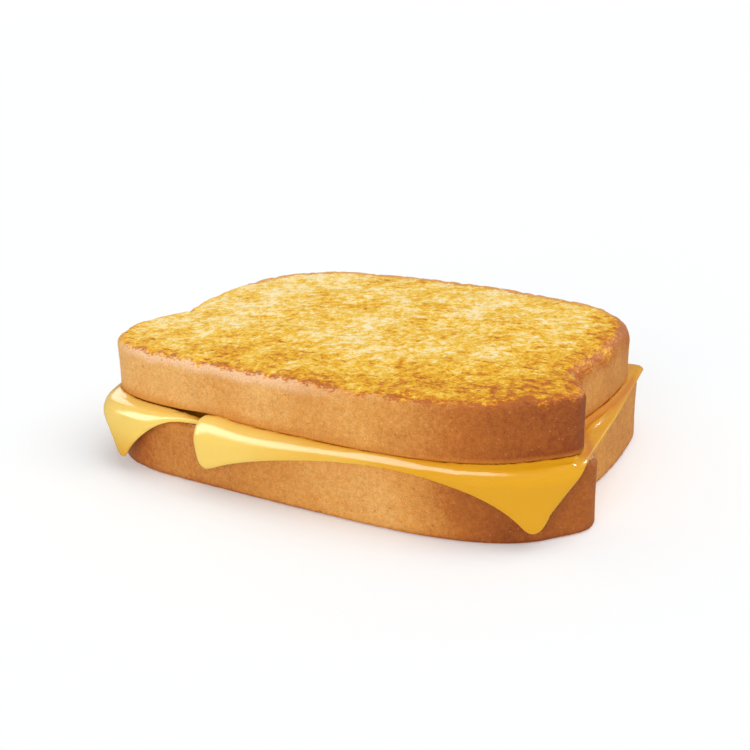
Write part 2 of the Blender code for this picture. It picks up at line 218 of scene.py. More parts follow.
# 1 where the two cheese slices' front edges cross, fading out as a Gaussian.
def crossing(points):
    return bell(np.hypot(*(points - heights["crossing"]).T), heights["crossingWidth"])


# Level, plus slope times x, less a dish that eases in from the rim and the dent at the crossing.
def lowerTop(points):
    depth = -nearestOn(points, lowerCoarse)[0]
    dish = heights["dish"] * ease(depth / heights["lowerDishRim"]) + heights["lowerDent"] * crossing(points)
    return heights["lowerTop"] + heights["lowerSlope"] * points[:, 0] - dish


# The same on the upper slice's under face, the other way up.
def upperBottom(points):
    depth = -nearestOn(points, upperCoarse)[0]
    dish = heights["dish"] * ease(depth / heights["upperDishRim"]) + heights["upperDent"] * crossing(points)
    settle = heights["settle"] * (1.0 - ease(depth / heights["upperDishRim"]))
    return heights["upperBottom"] + heights["upperSlope"] * points[:, 0] + dish - settle


# Sine waves one way whose crests sway to and fro.
def waves(along, across, length, sway, swayLength):
    return np.sin(along / length + sway * np.sin(across / swayLength))


# A low dome from the rim, shallow waves, and small hills where the crumb is open.
def griddledTop(points):
    depth = -nearestOn(points, upperCoarse)[0]
    x, y = points.T
    relief = heights["relief"] * (waves(x, y, *heights["alongX"]) + waves(y, x, *heights["alongY"]))
    relief = relief + hillSum(x, y, heights["hills"]) - heights["hillsDown"]
    relief = relief * ease(depth / heights["reliefReach"])
    dome = heights["dome"] * ease(depth / heights["domeReach"])
    return heights["upperBottom"] + heights["upperThickness"] + heights["upperSlope"] * x + dome + relief


# Level at 0.
def flatUnder(points):
    return np.zeros(len(points))


# The rounding of the top's edge, wider at the right end behind the crown.
def topRounding(line):
    x, y = line.T
    atEnd = ramp(x, heights["endRoundX"]) * ramp(y, heights["endRoundY"])
    return heights["topRound"] + heights["endRound"] * atEnd


def newObject(name, data):
    made = bpy.data.objects.new(name, data)
    bpy.context.scene.collection.objects.link(made)
    return made


# Puts points (mm) and faces into a mesh object in metres, with the row frame's shift.
def meshPiece(name, points, faces, attributes, look):
    mesh = bpy.data.meshes.new(name)
    mesh.from_pydata(((points + shift) * mm).tolist(), [], faces)
    for label, values in attributes.items():
        mesh.attributes.new(label, "FLOAT", "POINT").data.foreach_set("value", values.astype(np.float32))
    mesh.materials.append(look)
    mesh.shade_smooth()
    return newObject(name, mesh)


# Shader helpers: put() adds a node, and a socket given as a value is linked instead of set.
def put(tree, kind, values=None, **settings):
    node = tree.nodes.new(kind)
    for key, value in settings.items():
        setattr(node, key, value)
    for key, value in (values or {}).items():
        if isinstance(value, bpy.types.NodeSocket):
            tree.links.new(value, node.inputs[key])
        else:
            node.inputs[key].default_value = value
    return node


def maths(tree, operation, a, b=0.0, c=0.0):
    return put(tree, "ShaderNodeMath", {0: a, 1: b, 2: c}, operation=operation).outputs[0]


def mixed(tree, share, a, b, blend="MIX"):
    return put(tree, "ShaderNodeMix", {0: share, 6: a, 7: b}, data_type="RGBA", blend_type=blend).outputs[2]


def mixedValue(tree, share, a, b):
    return put(tree, "ShaderNodeMix", {0: share, 2: a, 3: b}, data_type="FLOAT").outputs[0]


# Eases a value from one range to 0 to 1.
def between(tree, value, low, high, kind="SMOOTHSTEP"):
    return put(tree, "ShaderNodeMapRange", {0: value, 1: low, 2: high}, interpolation_type=kind).outputs[0]


def noise(tree, vector, scale, detail=2.0, roughness=0.5, distortion=0.0):
    values = {"Vector": vector, "Scale": scale, "Detail": detail, "Roughness": roughness,
              "Distortion": distortion}
    return put(tree, "ShaderNodeTexNoise", values).outputs[0]


# Distance to the middle of the nearest cell.
def cells(tree, vector, scale):
    return put(tree, "ShaderNodeTexVoronoi", {"Vector": vector, "Scale": scale}, feature="F1").outputs[0]


def stretched(tree, vector, scale, turn=(0.0, 0.0, 0.0)):
    return put(tree, "ShaderNodeMapping", {"Vector": vector, "Rotation": turn, "Scale": scale}).outputs[0]


# Adds a noise to a value, times an amount. A noise lies about a half, so it swings to both sides.
def swung(tree, value, field, amount):
    return maths(tree, "ADD", value, maths(tree, "MULTIPLY_ADD", field, amount, -amount / 2))


# Shades a colour by a grain, from low to high while the grain goes through its usual range.
def shaded(tree, colour, grain, low, high, grainRange=(0.3, 0.7)):
    values = {0: grain, 1: grainRange[0], 2: grainRange[1], 3: low, 4: high}
    shade = put(tree, "ShaderNodeMapRange", values).outputs[0]
    grey = put(tree, "ShaderNodeCombineColor", {0: shade, 1: shade, 2: shade}).outputs[0]
    return mixed(tree, 1.0, colour, grey, "MULTIPLY")


def newGroup(name, inputs, outputs):
    tree = bpy.data.node_groups.new(name, "ShaderNodeTree")
    for label, kind, value in inputs:
        socket = tree.interface.new_socket(label, in_out="INPUT", socket_type="NodeSocket" + kind)
        if value is not None:
            socket.default_value = value
    for label, kind in outputs:
        tree.interface.new_socket(label, in_out="OUTPUT", socket_type="NodeSocket" + kind)
    return tree, tree.nodes.new("NodeGroupInput").outputs, tree.nodes.new("NodeGroupOutput").inputs


def newLook(name, settings):
    made = bpy.data.materials.new(name)
    made.use_nodes = True
    shader = made.node_tree.nodes["Principled BSDF"]
    for label, value in settings.items():
        shader.inputs[label].default_value = value
    return made, made.node_tree, shader


# A colour in steps of 255, made linear.
def rgb(red, green, blue):
    values = [c / 255.0 for c in (red, green, blue)]
    return (*[c / 12.92 if c <= 0.04045 else ((c + 0.055) / 1.055) ** 2.4 for c in values], 1.0)


# Group inputs for the colours of stop rows: a value, the colour's name, and the colour reached there.
def colourInputs(stops):
    return [(label, "Color", colour) for _, label, colour in stops]


# Steps a value through the stops' colours, blended straight between.
def throughColours(tree, value, given, stops):
    colour = given[stops[0][1]]
    for (start, _, _), (end, label, _) in zip(stops, stops[1:]):
        colour = mixed(tree, between(tree, value, start, end, "LINEAR"), colour, given[label])
    return colour


# Noise rows: scale, detail, roughness, distortion. Edges: where a mask starts and where it is full.
griddling = {
    "stops": (
        (0.0, "Cream", rgb(255, 238, 192)), (0.27, "Pale", rgb(253, 221, 142)),
        (0.46, "Golden", rgb(249, 203, 70)), (0.74, "Amber", rgb(238, 180, 18)),
        (1.02, "Toasted", rgb(219, 138, 8)), (1.36, "Brown", rgb(183, 95, 12))),
    "level": 0.45,
    "turn": (0.0, 0.0, -0.57), "turnedScale": (0.85, 0.8, 2.2), "drawnOutScale": (0.4, 1.5, 2.0),
    "strokes": (640.0, 4.0, 0.72, 0.2), "strokeSwing": 2.5, "strokeBump": 0.9,
    "patches": (190.0, 2.0, 0.5), "patchSwing": 1.0,
    "grain": (1600.0, 2.0, 0.6), "grainSwing": 1.3, "grainBump": 0.5, "grainShade": (0.95, 1.03),
    "streaks": (560.0, 3.0, 0.62), "streakEdges": (0.57, 0.68),
    "streaking": 0.3, "toastStreaking": 0.8,  # the second for each unit of toast
    "rough": 0.66, "brownSmoothing": 0.12, "brownEdges": (0.3, 1.0),
}
baking = {
    "stops": (
        (0.0, "Pale", rgb(237, 184, 110)), (0.3, "Tan", rgb(221, 154, 74)),
        (0.68, "Russet", rgb(184, 106, 40)), (1.1, "Deep", rgb(142, 70, 28))),
    "mottle": (110.0, 3.0, 0.6), "mottleSwing": 0.36,
    "fine": (900.0, 4.0, 0.7), "fineSwing": 0.6, "fineBump": 0.5,
    "grain": (3200.0, 2.0, 0.65), "grainBump": 0.4, "grainShade": (0.8, 1.16),
    "cells": 700.0, "poreEdges": (0.22, 0.12), "poreAreas": (260.0, 1.0), "areaEdges": (0.5, 0.62),
    "pores": 0.35, "poreColour": rgb(150, 84, 40), "poreBump": 0.8,
    "speckEdges": (0.14, 0.08), "speckBake": (0.55, 0.85), "specks": 0.3, "speckColour": rgb(222, 160, 104),
    # The last two colours are painted light: an orange glow for light bounced from the cheese, and a pale
    # sheen for a highlight.
    "bounceGlowColour": rgb(224, 150, 62), "paintedSheenColour": rgb(244, 198, 154),
}
openCrumb = {
    "colour": rgb(250, 228, 178), "cells": 420.0, "poreEdges": (0.45, 0.1), "pores": 0.6,
    "poreColour": rgb(214, 170, 104),
}


# Griddled crumb: one browning value, of strokes, patches, grain and streaks, stepped from cream
# through gold to brown.
def griddledGroup():
    inputs = (("Vector", "Vector", None), *colourInputs(griddling["stops"]), ("Toast", "Float", 0.5))
    outputs = (("Color", "Color"), ("Height", "Float"), ("Roughness", "Float"))
    tree, given, result = newGroup("griddledFace", inputs, outputs)
    turned = stretched(tree, given["Vector"], griddling["turnedScale"], griddling["turn"])
    drawnOut = stretched(tree, given["Vector"], griddling["drawnOutScale"])
    strokes = noise(tree, turned, *griddling["strokes"])
    patches = noise(tree, turned, *griddling["patches"])
    grain = noise(tree, given["Vector"], *griddling["grain"])
    streaks = between(tree, noise(tree, drawnOut, *griddling["streaks"]), *griddling["streakEdges"])
    streaking = maths(tree, "MULTIPLY", given["Toast"], griddling["toastStreaking"])
    streaking = maths(tree, "ADD", streaking, griddling["streaking"])
    browning = maths(tree, "ADD", given["Toast"], griddling["level"])
    browning = swung(tree, browning, strokes, griddling["strokeSwing"])
    browning = swung(tree, browning, patches, griddling["patchSwing"])
    browning = swung(tree, browning, grain, griddling["grainSwing"])
    browning = maths(tree, "ADD", browning, maths(tree, "MULTIPLY", streaks, streaking))
    colour = throughColours(tree, browning, given, griddling["stops"])
    tree.links.new(shaded(tree, colour, grain, *griddling["grainShade"]), result["Color"])
    height = maths(tree, "MULTIPLY", grain, griddling["grainBump"])
    height = maths(tree, "MULTIPLY_ADD", strokes, griddling["strokeBump"], height)
    tree.links.new(height, result["Height"])
    browned = between(tree, browning, *griddling["brownEdges"])
    rough = maths(tree, "MULTIPLY_ADD", browned, -griddling["brownSmoothing"], griddling["rough"])
    tree.links.new(rough, result["Roughness"])
    return tree


# Baked crust: a colour that deepens with the bake, soft mottling, fine grain, small dark pores
# and pale specks, with painted light over it where it is given: an orange glow bounced from the cheese, and a
# pale sheen for a highlight.
def crustGroup():
    inputs = (("Vector", "Vector", None), *colourInputs(baking["stops"]), ("Bake", "Float", 0.5),
              ("BounceGlow", "Float", 0.0), ("PaintedSheen", "Float", 0.0))
    tree, given, result = newGroup("bakedCrust", inputs, (("Color", "Color"), ("Height", "Float")))
    mottle = noise(tree, given["Vector"], *baking["mottle"])
    fine = noise(tree, given["Vector"], *baking["fine"])
    grain = noise(tree, given["Vector"], *baking["grain"])
    bake = swung(tree, given["Bake"], mottle, baking["mottleSwing"])
    bake = swung(tree, bake, fine, baking["fineSwing"])
    colour = throughColours(tree, bake, given, baking["stops"])
    fromCell = cells(tree, given["Vector"], baking["cells"])
    areas = between(tree, noise(tree, given["Vector"], *baking["poreAreas"]), *baking["areaEdges"])
    pores = maths(tree, "MULTIPLY", between(tree, fromCell, *baking["poreEdges"]), areas)
    colour = mixed(tree, maths(tree, "MULTIPLY", pores, baking["pores"]), colour, baking["poreColour"])
    dark = between(tree, given["Bake"], *baking["speckBake"])
    specks = maths(tree, "MULTIPLY", between(tree, fromCell, *baking["speckEdges"]), dark)
    colour = mixed(tree, maths(tree, "MULTIPLY", specks, baking["specks"]), colour, baking["speckColour"])
    # Painted bounce light: an orange glow from the cheese, laid over the colour.
    colour = mixed(tree, given["BounceGlow"], colour, baking["bounceGlowColour"])
    # Painted highlight: a pale sheen, laid over the colour.
    colour = mixed(tree, given["PaintedSheen"], colour, baking["paintedSheenColour"])
    tree.links.new(shaded(tree, colour, grain, *baking["grainShade"]), result["Color"])
    height = maths(tree, "MULTIPLY", grain, baking["grainBump"])
    height = maths(tree, "MULTIPLY_ADD", fine, baking["fineBump"], height)
    height = maths(tree, "SUBTRACT", height, maths(tree, "MULTIPLY", pores, baking["poreBump"]))
    tree.links.new(height, result["Height"])
    return tree


# Soft inner crumb: pale cream with open pores.
def crumbGroup():
    inputs = (("Vector", "Vector", None), ("Crumb", "Color", openCrumb["colour"]))
    tree, given, result = newGroup("softCrumb", inputs, (("Color", "Color"), ("Height", "Float")))
    pores = between(tree, cells(tree, given["Vector"], openCrumb["cells"]), *openCrumb["poreEdges"])
    share = maths(tree, "MULTIPLY", pores, openCrumb["pores"])
    tree.links.new(mixed(tree, share, given["Crumb"], openCrumb["poreColour"]), result["Color"])
    tree.links.new(maths(tree, "MULTIPLY", pores, -1.0), result["Height"])
    return tree


griddled, crust, crumb = griddledGroup(), crustGroup(), crumbGroup()

breadFinish = {
    "flattened": (1.0, 1.0, 2.2), "ragged": (330.0, 3.0, 0.6),
    "crumbs": (1300.0, 2.0, 0.6), "crumbSwing": 1.3,
    "faceSwing": 0.5, "faceEdges": (0.70, 0.84), "innerSwing": 0.3, "innerEdges": (0.86, 0.97),
    "crustRough": 0.62, "bump": 0.55, "bumpDepth": 0.0003,  # metres
    "shader": {"Specular IOR Level": 0.2, "Subsurface Weight": 0.06, "Subsurface Radius": (1.0, 0.5, 0.2),
               "Subsurface Scale": 0.0012},
}


# A slice's look: crust, with the griddled face and the inner crumb mixed in where the attributes say,
# each up to a ragged line.
def breadLook(name, toast):
    made, tree, shader = newLook(name, breadFinish["shader"])
    place = put(tree, "ShaderNodeTexCoord").outputs["Object"]
    value = {label: put(tree, "ShaderNodeAttribute", attribute_name=label).outputs["Fac"]
             for label in ("griddle", "inner", "bake", "rimToast", "bounceGlow", "paintedSheen")}
    flattened = stretched(tree, place, breadFinish["flattened"])
    ragged = noise(tree, flattened, *breadFinish["ragged"])
    ragged = swung(tree, ragged, noise(tree, flattened, *breadFinish["crumbs"]), breadFinish["crumbSwing"])
    faceValues = {"Vector": place, "Toast": maths(tree, "ADD", value["rimToast"], toast)}
    face = put(tree, "ShaderNodeGroup", faceValues, node_tree=griddled).outputs
    sideValues = {"Vector": place, "Bake": value["bake"], "BounceGlow": value["bounceGlow"],
                  "PaintedSheen": value["paintedSheen"]}
    side = put(tree, "ShaderNodeGroup", sideValues, node_tree=crust).outputs
    soft = put(tree, "ShaderNodeGroup", {"Vector": place}, node_tree=crumb).outputs
    onFace = swung(tree, value["griddle"], ragged, breadFinish["faceSwing"])
    onFace = between(tree, onFace, *breadFinish["faceEdges"])
    onInner = swung(tree, value["inner"], ragged, breadFinish["innerSwing"])
    onInner = between(tree, onInner, *breadFinish["innerEdges"])
    colour = mixed(tree, onInner, mixed(tree, onFace, side["Color"], face["Color"]), soft["Color"])
    tree.links.new(colour, shader.inputs["Base Color"])
    rough = mixedValue(tree, onFace, breadFinish["crustRough"], face["Roughness"])
    tree.links.new(rough, shader.inputs["Roughness"])
    height = mixedValue(tree, onFace, side["Height"], face["Height"])
    height = mixedValue(tree, onInner, height, soft["Height"])
    bumpValues = {"Strength": breadFinish["bump"], "Distance": breadFinish["bumpDepth"], "Height": height}
    tree.links.new(put(tree, "ShaderNodeBump", bumpValues).outputs[0], shader.inputs["Normal"])
    return made


rimShape = {
    "wobbleHills": ((0.6, 3.2, 11), (0.4, 1.3, 21)), "wobbleShare": 0.5,
    "crumbHills": ((0.6, 2.4, 31), (0.5, 1.2, 33)), "crumbLevel": 0.2, "crumbReach": 1.2,
    "hollowHills": ((0.6, 14.0, 0), (0.4, 5.0, 1)),  # their seeds are added to the slice's own
    "wallValue": 0.5,  # of a face's attribute where the rounding meets the crust
}


# One face of a slice and its rounded edge: rings from the middle out, and the attribute's value on each.
# A face ring is rim + share (middle - rim). An edge ring goes in by r (1 - sin a) and up by r (1 - cos a).
# Crumbly dips along the rim fade inwards as exp(-distance / reach).
def faceRings(bread, side, up, line, out, middle):
    surface, rounding, shares = bread["faces"][side], bread["roundings"][side], bread["shares"][side]
    wobble = bread["wobble"][side] * hillSum(*line.T, rimShape["wobbleHills"], side)
    rim = line - (rounding + rimShape["wobbleShare"] * wobble)[:, None] * out
    crumbs = hillSum(*line.T, rimShape["crumbHills"]) + rimShape["crumbLevel"]
    dip = up * bread["crumble"][side] * np.clip(crumbs, 0.0, 1.0)
    reach = np.hypot(*(middle - rim).T) / rimShape["crumbReach"]
    rings = []
    for share in shares[::-1]:
        spots = rim + share * (middle - rim)
        rings.append(np.column_stack((spots, surface(spots) + dip * np.exp(-share * reach))))
    edge = surface(rim) + dip
    turns = np.linspace(0.0, 1.0, bread["arcRings"])
    for a in math.pi / 2 * turns:
        inset = rounding * (1 - math.sin(a)) + rimShape["wobbleShare"] * np.abs(wobble)
        rings.append(np.column_stack((line - inset[:, None] * out, edge + up * rounding * (1 - math.cos(a)))))
    return rings, np.concatenate((np.ones(len(shares)), 1.0 - rimShape["wallValue"] * turns))


# Rings up a slice: the under face from its middle out, its rounded edge, the crust, the upper edge
# and the upper face. The crust is hollowed between its edges by hollow sin(pi t), over hills.
def breadPoints(bread):
    line = evenly(bread["line"], loaf["around"])
    out = outwardWay(line)
    out = (np.roll(out, 1, 0) + out + np.roll(out, -1, 0)) / 3.0
    middle = line.mean(0)
    lowRings, lowValues = faceRings(bread, 0, 1.0, line, out, middle)
    highRings, highValues = faceRings(bread, 1, -1.0, line, out, middle)
    t = np.linspace(0.0, 1.0, bread["wallRings"] + 2)[1:-1]
    wall = [lowRings[-1] + share * (highRings[-1] - lowRings[-1]) for share in t]
    rings = np.stack(lowRings + wall + highRings[::-1])
    hollow = bread["hollow"] * (0.5 + 0.5 * hillSum(*line.T, rimShape["hollowHills"], bread["seed"]))
    onWall = np.zeros(len(rings))
    onWall[len(lowRings):len(lowRings) + len(wall)] = np.sin(np.pi * t)
    rings[:, :, :2] -= (onWall[:, None] * hollow)[..., None] * out
    wallValues = rimShape["wallValue"] * (1 - 2 * t)
    low = np.concatenate((lowValues, np.maximum(wallValues, 0.0), np.zeros(len(highRings))))
    high = np.concatenate((np.zeros(len(lowRings)), np.maximum(-wallValues, 0.0), highValues[::-1]))
    values = {"low": np.append(np.repeat(low, len(line)), (1.0, 0.0)),
              "high": np.append(np.repeat(high, len(line)), (0.0, 1.0))}
    ends = [np.append(middle, surface(middle[None])) for surface in bread["faces"]]
    return np.vstack((rings.reshape(-1, 3), ends)), values, len(rings)


# Quads between neighbouring rings, and a fan at each middle, all facing out.
def breadFaces(ringCount):
    count = loaf["around"]
    here = np.arange(count)
    there = np.roll(here, -1)
    level = np.arange(ringCount - 1)[:, None] * count
    corners = (level + here, level + there, level + count + there, level + count + here)
    quads = np.stack(corners, -1).reshape(-1, 4)
    last = (ringCount - 1) * count
    lowFan = np.column_stack((there, here, np.full(count, ringCount * count)))
    highFan = np.column_stack((last + here, last + there, np.full(count, ringCount * count + 1)))
    return quads.tolist() + lowFan.tolist() + highFan.tolist()


# Where the crust and the griddled face are browner or paler, and where painted light lies on the crust. Pairs
# are where that starts and where it is full, in mm, and hill rows are height, size and seed.
crustPlaces = {
    "frontY": (26.0, 19.0), "rightX": (40.0, 50.0),
    "behind": 0.2, "far": 0.08, "farY": (62.0, 80.0),
    "right": 0.09, "rightTop": 0.22, "rightTopZ": (23.5, 28.5), "rightFar": 0.12, "rightFarY": (36.0, 48.0),
    # Painted bounce light: the orange glow from the cheese comes in over this range of height.
    "bounceGlowZ": (18.6, 17.2),
    # Painted highlight: the pale sheen at the top of the front crust.
    "paintedSheen": 0.8, "paintedSheenZ": (25.6, 27.6), "paintedSheenHills": ((0.5, 3.0, 44),),
    "paintedSheenLeft": (-52.0, -38.0), "paintedSheenRight": (22.0, -8.0), "paintedSheenY": (12.0, 4.0),
}
facePlaces = {
    "outlinePoints": 160, "rimWidth": 1.5,
    "areas": (  # added toast, and the ranges of x and y over which it comes in
        (0.32, (5.0, 50.0), (45.0, 10.0)), (0.25, (34.0, 50.0), None), (0.24, None, (26.0, 6.0)),
        (-0.16, (-18.0, -40.0), None)),
    "rightRim": 0.3, "rightRimReach": 4.0, "rightRimX": (40.0, 50.0), "rightRimY": (24.0, 32.0),
    "hills": ((0.12, 15.0, 41), (0.14, 6.0, 42)),
    "lipX": (40.0, 48.0), "lipY": (14.0, 20.0),
    "limit": 0.48, "lipLimit": 0.06, "limitHills": ((0.14, 3.0, 45),),
    "edgeLine": 0.38, "edgeLineReach": 0.6, "edgeLineFade": 0.75, "edgeLineFadeY": (40.0, 65.0),
    "overEdge": 0.42,
    "crustIn": 0.36, "crustInReach": 3.0, "crustInY": (42.0, 62.0), "crustInHills": ((6.0, 5.0, 43),),
    "over": 0.15, "overHills": ((0.1, 2.2, 46),), "overX": (40.0, 50.0), "overY": (17.0, 23.0),
}


# How baked the crust is: along the crown by interpolating between the given places, paler behind the lips,
# and browner along its lower edge.
def bakeOf(points, bread):
    x, y, z = points.T
    crown = np.interp(x, *np.array(bread["crownBake"]).T)
    behind = crustPlaces["behind"] + crustPlaces["far"] * ramp(y, crustPlaces["farY"])
    right = crustPlaces["right"] + crustPlaces["rightTop"] * ramp(z, crustPlaces["rightTopZ"])
    right = right + crustPlaces["rightFar"] * ramp(y, crustPlaces["rightFarY"])
    behind = behind + right * ramp(x, crustPlaces["rightX"])
    front = ramp(y, crustPlaces["frontY"])
    return front * crown + (1 - front) * behind + bread["lowBake"] * ramp(z, bread["lowZ"])


# How strong the painted sheen is, a highlight painted as pale colour at the top of the crown crust, at the
# left half of the front.
def paintedSheenOf(points):
    x, y, z = points.T
    paintedSheen = crustPlaces["paintedSheen"] * ramp(z + hillSum(x, z, crustPlaces["paintedSheenHills"]), crustPlaces["paintedSheenZ"])
    along = ramp(x, crustPlaces["paintedSheenLeft"]) * ramp(x, crustPlaces["paintedSheenRight"])
    return paintedSheen * along * ramp(y, crustPlaces["paintedSheenY"])


# The griddled face's added toast: areas and hills up to a limit, a thin line along its edge except
# behind the lip, and there more the further it goes over the edge.
def toastOf(x, y, inward, griddle):
    toast = sum(amount * ramp(x, spanX) * ramp(y, spanY) for amount, spanX, spanY in facePlaces["areas"])
    rightRim = ramp(x, facePlaces["rightRimX"]) * ramp(y, facePlaces["rightRimY"])
    toast = toast + facePlaces["rightRim"] * bell(inward, facePlaces["rightRimReach"]) * rightRim
    toast = toast + hillSum(x, y, facePlaces["hills"])
    behindLip = ramp(x, facePlaces["lipX"]) * ramp(y, facePlaces["lipY"])
    limit = facePlaces["limit"] + facePlaces["lipLimit"] * behindLip + hillSum(x, y, facePlaces["limitHills"])
    edgeLine = facePlaces["edgeLine"] * np.exp(-inward / facePlaces["edgeLineReach"]) * (1.0 - behindLip)
    edgeLine = edgeLine * (1.0 - facePlaces["edgeLineFade"] * ramp(y, facePlaces["edgeLineFadeY"]))
    overEdge = facePlaces["overEdge"] * behindLip * np.clip(2.0 - 2.0 * griddle, 0.0, 1.0)
    return np.minimum(toast, limit) + edgeLine + overEdge


# Where the griddled face ends: drawn in from the rim at the back, and carried over it at the right.
def griddleOf(x, y, inward, griddle):
    crustIn = facePlaces["crustIn"] * bell(inward, facePlaces["crustInReach"])
    crustIn = crustIn * ramp(y + hillSum(x, y, facePlaces["crustInHills"]), facePlaces["crustInY"])
    over = facePlaces["over"] + hillSum(x, y, facePlaces["overHills"])
    return griddle - crustIn + over * ramp(x, facePlaces["overX"]) * ramp(y, facePlaces["overY"])


# A slice's mesh, with the attributes that its look reads.
def makeBread(name, node, bread, look):
    points, values, ringCount = breadPoints(bread)
    x, y, z = points.T
    outline = evenly(bread["line"], facePlaces["outlinePoints"])
    depth = -nearestOn(points[:, :2], outline)[0]
    inward = np.maximum(depth - facePlaces["rimWidth"], 0.0)
    griddle = values[bread["griddled"]]
    attributes = {
        "griddle": griddleOf(x, y, inward, griddle), "inner": values[bread["soft"]],
        "bake": bakeOf(points, bread),
        # Painted highlight: a pale sheen at the top of the front crust.
        "rimToast": toastOf(x, y, inward, griddle), "paintedSheen": paintedSheenOf(points),
        # Painted bounce light: an orange glow from the cheese along the upper crust's lower edge.
        "bounceGlow": bread["bounceGlowShare"] * ramp(z, crustPlaces["bounceGlowZ"])}
    piece = meshPiece(name, points, breadFaces(ringCount), attributes, look)
    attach(piece, "root")
    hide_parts(node)
    return piece


# Shares of the way in from the rim to the middle.
def ringShares(count, power):
    return np.linspace(0.0, 1.0, count + 2)[1:-1] ** power


columns = np.ones(loaf["around"])
innerShares, faceShares = ringShares(*loaf["innerRings"]), ringShares(*loaf["faceRings"])
# Pairs are the under and upper side, and lowZ is a range. Crown rows: x, and how baked the crust is there.
lowerSlice = {
    "line": lowerLine, "faces": (flatUnder, lowerTop), "shares": (innerShares, innerShares),
    "roundings": (heights["crustRound"] * columns, heights["crustRound"] * columns),
    "wobble": (0.35, 0.15), "crumble": (0.0, 0.0), "hollow": 0.2, "seed": 50, "arcRings": 7, "wallRings": 12,
    "griddled": "low", "soft": "high", "toast": 0.15, "bounceGlowShare": 0.0,
    "crownBake": ((-54, 0.95), (-44, 0.85), (-34, 0.55), (-15, 0.5), (2, 0.32),
                  (26, 0.2), (34, 0.42), (42, 0.75), (50, 0.95), (60, 0.85)),
    "lowBake": 0.35, "lowZ": (1.6, 0.0),
}
upperSlice = {
    "line": upperLine, "faces": (upperBottom, griddledTop), "shares": (innerShares, faceShares),
    "roundings": (heights["underRound"] * columns, topRounding(evenly(upperLine, loaf["around"]))),
    "wobble": (0.15, 0.3), "crumble": (0.0, 0.45), "hollow": 0.2, "seed": 60, "arcRings": 7, "wallRings": 12,
    # The glow share is painted bounce light from the cheese.
    "griddled": "high", "soft": "low", "toast": 0.0, "bounceGlowShare": 0.6,
    "crownBake": ((-50, 0.06), (-34, 0.1), (-14, 0.22), (-4, 0.15), (6, 0.3),
                  (22, 0.28), (30, 0.42), (40, 0.66), (48, 0.86), (58, 1.05)),
    "lowBake": 0.15, "lowZ": (19.5, 16.5),
}
breadUnder = makeBread("lowerSlice", "bread_bottom", lowerSlice, breadLook("lowerBread", lowerSlice["toast"]))
breadOver = makeBread("upperSlice", "bread_top", upperSlice, breadLook("upperBread", upperSlice["toast"]))
print("bread made")

melt = {
    "side": 84.0, "thickness": 1.3, "edge": 1.8,
    "clearance": 0.32, "liftClearances": 1.7,  # added to a thickness, for the upper slice's lift
    "edgeLines": (0.0, 0.03, 0.11, 0.25, 0.46, 0.72, 1.0),
    "fineCell": 0.45, "wideCell": 2.2, "hangReach": 22.0,
    "withdrawAt": (0.3, -0.1), "tuckPower": 1.5, "landing": 8.0, "liftReach": 7.5,
    "crustPoints": 300, "squeeze": 0.6, "squeezeReach": 0.9, "squeezeInside": 0.15, "seamShadeReach": 0.4,
    "ridge": 0.75, "ridgeAt": 2.7, "ridgeWidth": 0.5, "ridgeX": (50.0, 55.0), "ridgeY": (8.0, 14.0),
    # The shade rows paint shade into the cheese's colour on the strip along the crust at the right.
    "deepX": (-30.0, 50.0), "shade": 0.5, "shadeX": (50.0, 54.0), "shadeY": (14.0, 20.0),
    "creaseShade": 1.5, "creaseReach": 1.9,
}
# Pairs of cornerRound: at the -X and +X end of the front. Bend: its radius at the left and at the right
# of the change.
lowerCheese = {
    "corner": (-46.5, -18.7), "cornerSide": -1, "turn": 0.305,
    "pullFront": 8.5, "pullEnd": -1.4, "withdraw": 4.0, "cornerRound": (4.5, 3.0), "backRound": 4.5,
    "bend": (4.4, 2.3), "bendChange": (-48.1, 4.0), "standOff": 3.2,
    "tuck": 7.0, "deepening": (0.09, 4.0),  # for each millimetre of hang past the second value
}
upperCheese = {
    "corner": (64.85, -4.3), "cornerSide": 1, "turn": 0.1365,
    "pullFront": 5.75, "pullEnd": 0.6, "withdraw": 0.0, "cornerRound": (3.0, 5.5), "backRound": 1.8,
    "bend": (3.2, 2.3), "bendChange": (6.5, 5.0), "standOff": 2.4,
    "tuck": 2.0, "deepening": (0.05, 7.0),
}


# Grid lines over the side, close where the slice is rounded off and where it hangs.
def cheeseLines(hangsLow, hangsHigh):
    edge = [share * melt["edge"] for share in melt["edgeLines"]]
    low, high = list(edge), [melt["side"] - e for e in edge]
    steps = round((melt["hangReach"] - edge[-1]) / melt["fineCell"])
    for line, hangs, way in ((low, hangsLow, 1.0), (high, hangsHigh, -1.0)):
        if hangs:
            line += [line[-1] + way * melt["fineCell"] * (k + 1) for k in range(steps)]
    wide = np.linspace(low[-1], high[-1], round((high[-1] - low[-1]) / melt["wideCell"]) + 1)[1:-1]
    return np.concatenate((low, wide, high[::-1])) - melt["side"] / 2


# Corner blocks of the square mapped to quarter discs by x = a sqrt(1 - bb/2), y = b sqrt(1 - aa/2).
def roundedSquare(u, v, roundings, backRounding):
    half = melt["side"] / 2
    rounding = np.where(u < 0.0, roundings[0], roundings[1])
    rounding = np.where(v > 0.0, backRounding, rounding)
    block = half - rounding
    a = np.clip((abs(u) - block) / rounding, 0.0, 1.0)
    b = np.clip((abs(v) - block) / rounding, 0.0, 1.0)
    x = np.sign(u) * (np.minimum(abs(u), block) + rounding * a * np.sqrt(1.0 - b * b / 2.0))
    y = np.sign(v) * (np.minimum(abs(v), block) + rounding * b * np.sqrt(1.0 - a * a / 2.0))
    reach = rounding * (1.0 - np.sqrt(a * a + b * b - a * a * b * b))
    toEdge = np.where((a > 0.0) & (b > 0.0), reach, half - np.maximum(abs(u), abs(v)))
    return x, y, np.maximum(toEdge, 0.0)


